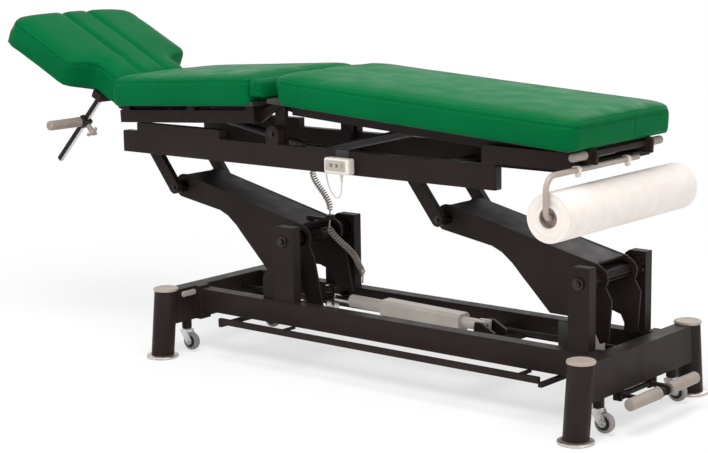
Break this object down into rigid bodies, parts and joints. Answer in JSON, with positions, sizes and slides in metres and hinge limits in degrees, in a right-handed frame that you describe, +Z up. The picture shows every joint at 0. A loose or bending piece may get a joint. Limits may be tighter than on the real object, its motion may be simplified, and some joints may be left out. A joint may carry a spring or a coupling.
{
  "type": "treatment table",
  "caption": "Electric treatment table on four splayed legs, with two lift arms, three padded sections, a paper roll, drop-down casters and foot controls",
  "frame": {"origin": "on the floor, at the centre of the whole table's outline at rest", "axes": "+X from the head section to the foot end, +Y across the table away from the handset side, +Z up"},
  "size_m": [2.1335, 0.6318, 0.9433],
  "materials": {
    "black_steel": "satin powder coat",
    "taupe_plastic": "matt grey-beige plastic",
    "bright_steel": "bright zinc",
    "green_cover": "smooth artificial leather over foam",
    "board": "dark painted board",
    "cream_plastic": "off-white plastic",
    "paper": "rolled paper",
    "cord": "grey-beige curly cord",
    "grey_tyre": "grey tread",
    "taupe_metal": "satin grey-beige paint"
  },
  "bodies": {
    "base": {"legs": "black_steel", "leg_caps": "taupe_plastic", "foot_rings": "taupe_plastic", "head_crossbeam": "black_steel", "foot_crossbeam": "black_steel", "side_beams": "black_steel", "head_uprights": "black_steel", "foot_uprights": "black_steel", "pivot_axles": "black_steel", "control_box": "taupe_plastic", "actuator_bracket": "black_steel", "bar_hangers": "black_steel", "curly_cord_lower": "cord"},
    "head_arm": {"head_arm": "black_steel", "curly_cord_upper": "cord"},
    "foot_arm": {"foot_arm": "black_steel"},
    "upper_frame": {"main_beams": "black_steel", "cross_members": "black_steel", "hangers": "black_steel", "hinge_posts": "black_steel", "end_rails": "black_steel", "frame_clips": "cream_plastic", "roll_holder": "taupe_metal", "handset": "cream_plastic", "handset_cable": "cream_plastic"},
    "paper_roll": {"paper_roll": "paper"},
    "up_button": {"up_button": "taupe_plastic"},
    "down_button": {"down_button": "taupe_plastic"},
    "middle_section": {"mid_frame": "black_steel", "mid_board": "board", "mid_cushion": "green_cover"},
    "long_section": {"long_frame": "black_steel", "long_board": "board", "long_cushion": "green_cover"},
    "release_bar": {"release_bar": "black_steel"},
    "head_section": {"head_frame": "black_steel", "head_board": "board", "head_cushion": "green_cover", "grip_bar": "bright_steel"},
    "grip_clamp": {"grip_clamp": "taupe_plastic"},
    "clamp_knob": {"clamp_knob": "taupe_plastic"},
    "actuator_body": {"actuator_body": "taupe_metal"},
    "actuator_rod": {"actuator_rod": "bright_steel"},
    "long_spring_tubes": {"long_spring_tubes": "black_steel"},
    "long_spring_rods": {"long_spring_rods": "bright_steel"},
    "mid_spring_tube": {"mid_spring_tube": "black_steel"},
    "mid_spring_rod": {"mid_spring_rod": "bright_steel"},
    "foot_bar": {"foot_bar": "black_steel"},
    "head_caster_beam": {"head_caster_beam": "black_steel"},
    "foot_caster_beam": {"foot_caster_beam": "black_steel"},
    "pedal": {"pedal": "black_steel"},
    "caster_link": {"caster_link": "black_steel"},
    "fork_head_near": {"fork_head_near": "bright_steel"},
    "wheel_head_near": {"wheel_head_near": "grey_tyre"},
    "fork_head_far": {"fork_head_far": "bright_steel"},
    "wheel_head_far": {"wheel_head_far": "grey_tyre"},
    "fork_foot_near": {"fork_foot_near": "bright_steel"},
    "wheel_foot_near": {"wheel_foot_near": "grey_tyre"},
    "fork_foot_far": {"fork_foot_far": "bright_steel"},
    "wheel_foot_far": {"wheel_foot_far": "grey_tyre"}
  },
  "joints": [
    {"name": "lift", "type": "hinge", "parent": "base", "child": "head_arm", "pos_m": [-0.043, 0, 0.348], "axis": [0, 1, 0], "range_deg": [-9, 47], "deforming": ["curly_cord_lower", "curly_cord_upper"]},
    {"name": "foot_arm_swing", "type": "hinge", "parent": "base", "child": "foot_arm", "pos_m": [0.902, 0, 0.348], "axis": [0, 1, 0], "range_deg": [-9, 47]},
    {"name": "frame_level", "type": "hinge", "parent": "head_arm", "child": "upper_frame", "pos_m": [-0.48774, 0, 0.45313], "axis": [0, 1, 0], "range_deg": [-47, 9]},
    {"name": "actuator_tilt", "type": "hinge", "parent": "base", "child": "actuator_body", "pos_m": [0.527, 0, 0.165], "axis": [0, 1, 0], "range_deg": [-1, 1]},
    {"name": "actuator_extend", "type": "slide", "parent": "actuator_body", "child": "actuator_rod", "axis": [-0.9998, 0, 0.0211], "range_m": [-0.0273, 0.1425]},
    {"name": "roll_spin", "type": "hinge", "parent": "upper_frame", "child": "paper_roll", "pos_m": [0.913, 0, 0.529], "axis": [0, 1, 0], "continuous": true},
    {"name": "up_press", "type": "slide", "parent": "upper_frame", "child": "up_button", "axis": [0, 1, 0], "range_m": [0, 0.0015], "stiffness_N_per_m": 600},
    {"name": "down_press", "type": "slide", "parent": "upper_frame", "child": "down_button", "axis": [0, 1, 0], "range_m": [0, 0.0015], "stiffness_N_per_m": 600},
    {"name": "middle_tilt", "type": "hinge", "parent": "upper_frame", "child": "middle_section", "pos_m": [-0.043, 0, 0.728], "axis": [0, 1, 0], "range_deg": [0, 10]},
    {"name": "long_tilt", "type": "hinge", "parent": "upper_frame", "child": "long_section", "pos_m": [-0.043, 0, 0.728], "axis": [0, -1, 0], "range_deg": [0, 30]},
    {"name": "release_turn", "type": "hinge", "parent": "long_section", "child": "release_bar", "pos_m": [0.91685, 0, 0.65758], "axis": [0, 1, 0], "range_deg": [0, 20], "stiffness_Nm_per_rad": 6},
    {"name": "head_tilt", "type": "hinge", "parent": "middle_section", "child": "head_section", "pos_m": [-0.6465, 0, 0.68833], "axis": [0, 1, 0], "range_deg": [-65, 0]},
    {"name": "grip_height", "type": "slide", "parent": "head_section", "child": "grip_clamp", "axis": [-0.6947, 0, -0.7193], "range_m": [-0.055, 0.145]},
    {"name": "knob_turn", "type": "hinge", "parent": "grip_clamp", "child": "clamp_knob", "pos_m": [-0.83584, -0.13, 0.62469], "axis": [0.7193, 0, -0.6947], "continuous": true},
    {"name": "long_spring_swing", "type": "hinge", "parent": "upper_frame", "child": "long_spring_tubes", "pos_m": [0.015, 0, 0.59], "axis": [0, -1, 0], "range_deg": [-1, 31]},
    {"name": "long_spring_extend", "type": "slide", "parent": "long_spring_tubes", "child": "long_spring_rods", "axis": [0.9736, 0, 0.2283], "range_m": [-0.001, 0.085]},
    {"name": "mid_spring_swing", "type": "hinge", "parent": "upper_frame", "child": "mid_spring_tube", "pos_m": [-0.061, 0, 0.59], "axis": [0, 1, 0], "range_deg": [-1, 11]},
    {"name": "mid_spring_extend", "type": "slide", "parent": "mid_spring_tube", "child": "mid_spring_rod", "axis": [-0.985, 0, 0.1727], "range_m": [-0.001, 0.03]},
    {"name": "foot_bar_press", "type": "slide", "parent": "base", "child": "foot_bar", "axis": [0, 0, -1], "range_m": [0, 0.005], "stiffness_N_per_m": 24000, "springref_m": -0.002},
    {"name": "pedal_press", "type": "hinge", "parent": "base", "child": "pedal", "pos_m": [0.989, 0, 0.078], "axis": [0, 1, 0], "range_deg": [0, 12]},
    {"name": "foot_casters_drop", "type": "slide", "parent": "base", "child": "foot_caster_beam", "axis": [0, 0, -1], "range_m": [0, 0.012], "stiffness_N_per_m": 60, "springref_m": -0.18},
    {"name": "head_casters_drop", "type": "slide", "parent": "base", "child": "head_caster_beam", "axis": [0, 0, -1], "range_m": [0, 0.012], "stiffness_N_per_m": 60, "springref_m": -0.18},
    {"name": "link_slide", "type": "slide", "parent": "base", "child": "caster_link", "axis": [1, 0, 0], "range_m": [0, 0.01]},
    {"name": "swivel_head_near", "type": "hinge", "parent": "head_caster_beam", "child": "fork_head_near", "pos_m": [-0.393, -0.172, 0.066], "axis": [0, 0, 1], "continuous": true},
    {"name": "roll_head_near", "type": "hinge", "parent": "fork_head_near", "child": "wheel_head_near", "pos_m": [-0.375, -0.172, 0.029], "axis": [0, 1, 0], "continuous": true},
    {"name": "swivel_head_far", "type": "hinge", "parent": "head_caster_beam", "child": "fork_head_far", "pos_m": [-0.393, 0.172, 0.066], "axis": [0, 0, 1], "continuous": true},
    {"name": "roll_head_far", "type": "hinge", "parent": "fork_head_far", "child": "wheel_head_far", "pos_m": [-0.375, 0.172, 0.029], "axis": [0, 1, 0], "continuous": true},
    {"name": "swivel_foot_near", "type": "hinge", "parent": "foot_caster_beam", "child": "fork_foot_near", "pos_m": [0.977, -0.172, 0.066], "axis": [0, 0, 1], "continuous": true},
    {"name": "roll_foot_near", "type": "hinge", "parent": "fork_foot_near", "child": "wheel_foot_near", "pos_m": [0.995, -0.172, 0.029], "axis": [0, 1, 0], "continuous": true},
    {"name": "swivel_foot_far", "type": "hinge", "parent": "foot_caster_beam", "child": "fork_foot_far", "pos_m": [0.977, 0.172, 0.066], "axis": [0, 0, 1], "continuous": true},
    {"name": "roll_foot_far", "type": "hinge", "parent": "fork_foot_far", "child": "wheel_foot_far", "pos_m": [0.995, 0.172, 0.029], "axis": [0, 1, 0], "continuous": true}
  ],
  "couplings": [
    {"joint": "foot_arm_swing", "follows": "lift", "ratio": 1},
    {"joint": "frame_level", "follows": "lift", "ratio": -1},
    {"joint": "actuator_tilt", "follows": "lift", "ratio": 0.011},
    {"joint": "actuator_extend", "follows": "lift", "m_per_rad": 0.1736},
    {"joint": "long_spring_swing", "follows": "long_tilt", "ratio": 0.96919},
    {"joint": "long_spring_extend", "follows": "long_tilt", "m_per_rad": 0.14744},
    {"joint": "mid_spring_swing", "follows": "middle_tilt", "ratio": 0.95811},
    {"joint": "mid_spring_extend", "follows": "middle_tilt", "m_per_rad": 0.13787},
    {"joint": "foot_casters_drop", "follows": "pedal_press", "m_per_rad": 0.0573},
    {"joint": "head_casters_drop", "follows": "pedal_press", "m_per_rad": 0.0573},
    {"joint": "link_slide", "follows": "pedal_press", "m_per_rad": 0.04727}
  ]
}
